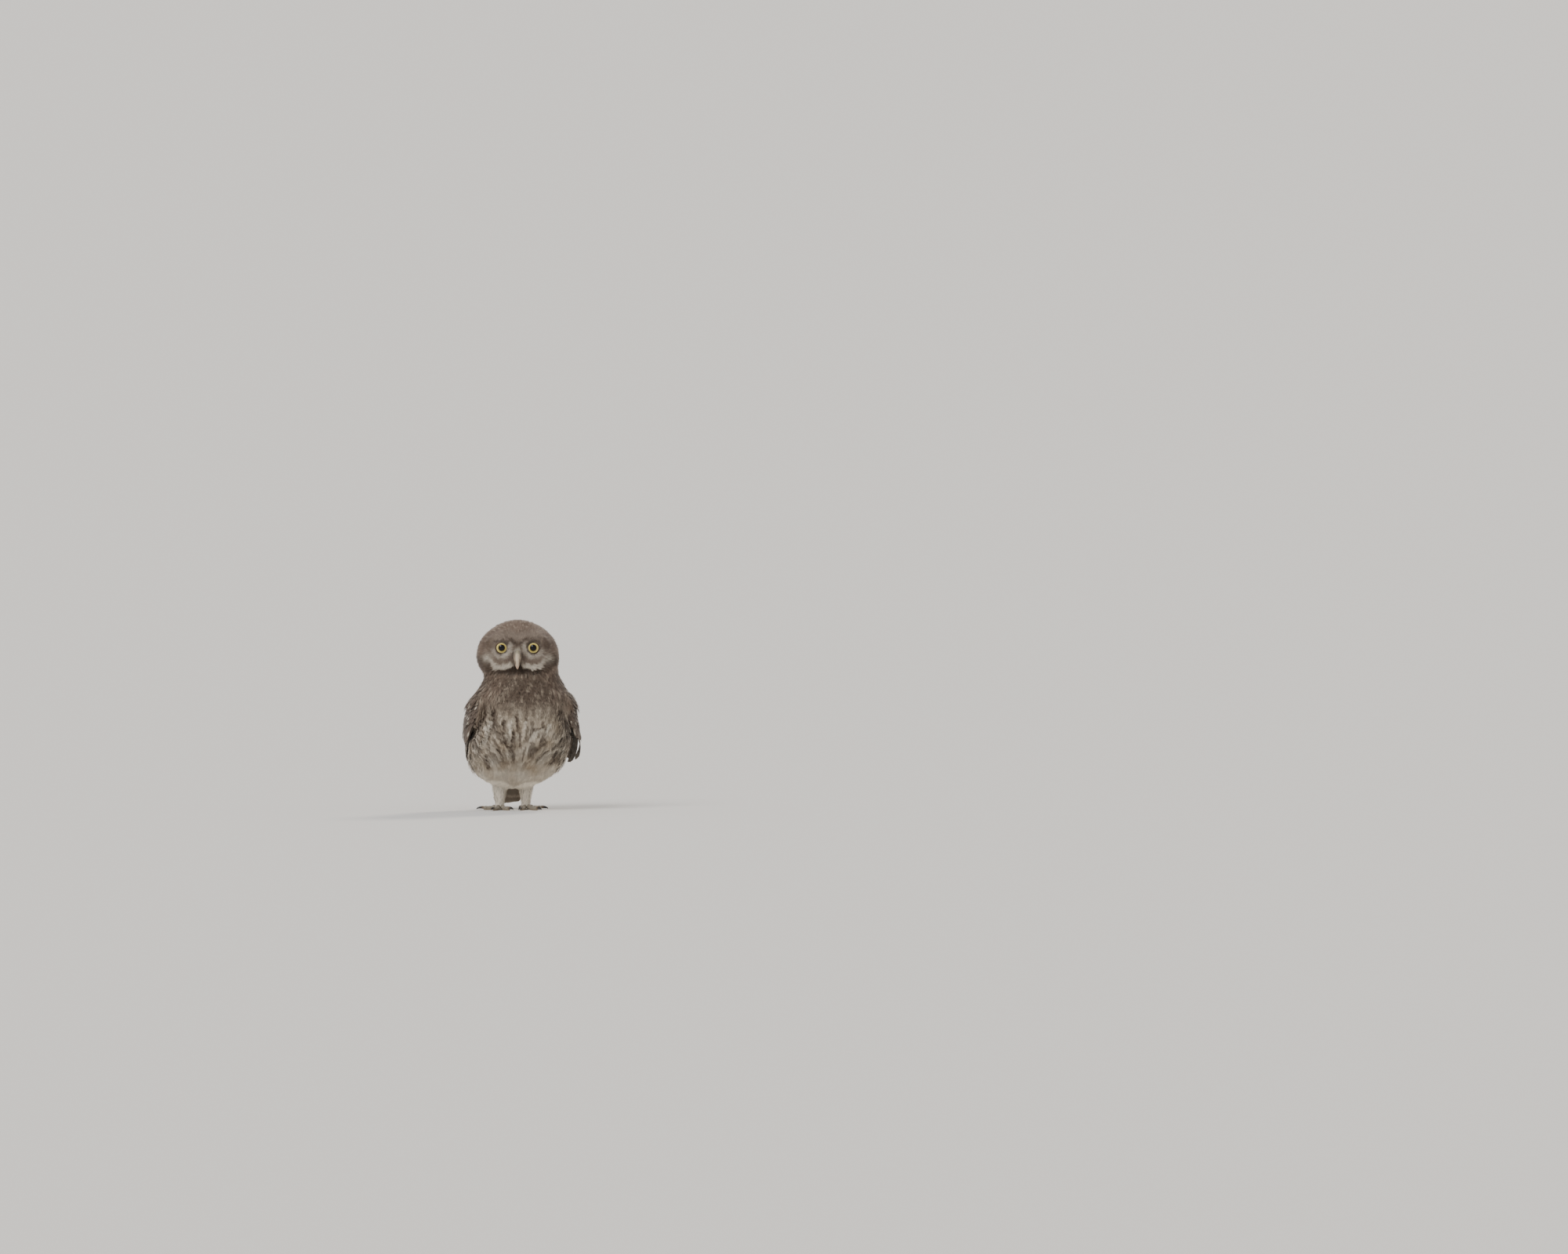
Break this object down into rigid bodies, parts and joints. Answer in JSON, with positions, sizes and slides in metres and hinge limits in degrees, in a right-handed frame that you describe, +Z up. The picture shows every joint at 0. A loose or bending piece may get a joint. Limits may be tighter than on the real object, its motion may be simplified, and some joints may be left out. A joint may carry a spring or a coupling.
{
  "type": "little owl model",
  "caption": "Still life-size model of a little owl fledgling, standing upright on both feet with folded wings.",
  "frame": {"origin": "middle of the footprint of the whole owl's box, on the floor under its toes", "axes": "+Z up; the owl's face looks along -Y, and its left wing is at +X"},
  "size_m": [0.1272, 0.1056, 0.199],
  "materials": {
    "plumage": "soft grey-brown feathers, matt",
    "pale_plumage": "short whitish feathers, matt",
    "flight_feathers": "smooth dark brown vanes with pale spots and bars, faint sheen",
    "eye": "wet clear cornea over a pale yellow iris",
    "bill_horn": "satin horn",
    "claw_horn": "satin dark horn",
    "toe_skin": "dry scaly skin with sparse bristles"
  },
  "bodies": {
    "root": {"bill_lower": "bill_horn", "bill_upper": "bill_horn", "claw_hind_left": "claw_horn", "claw_hind_right": "claw_horn", "claw_inner_left": "claw_horn", "claw_inner_right": "claw_horn", "claw_middle_left": "claw_horn", "claw_middle_right": "claw_horn", "claw_outer_left": "claw_horn", "claw_outer_right": "claw_horn", "eye_left": "eye", "eye_right": "eye", "head": "plumage", "neck": "plumage", "primaries_left": "flight_feathers", "primaries_right": "flight_feathers", "tail": "flight_feathers", "tarsus_left": "pale_plumage", "tarsus_right": "pale_plumage", "thigh_left": "pale_plumage", "thigh_right": "pale_plumage", "toe_hind_left": "toe_skin", "toe_hind_right": "toe_skin", "toe_inner_left": "toe_skin", "toe_inner_right": "toe_skin", "toe_middle_left": "toe_skin", "toe_middle_right": "toe_skin", "toe_outer_left": "toe_skin", "toe_outer_right": "toe_skin", "trunk": "plumage", "wing_left": "plumage", "wing_right": "plumage"}
  },
  "joints": []
}
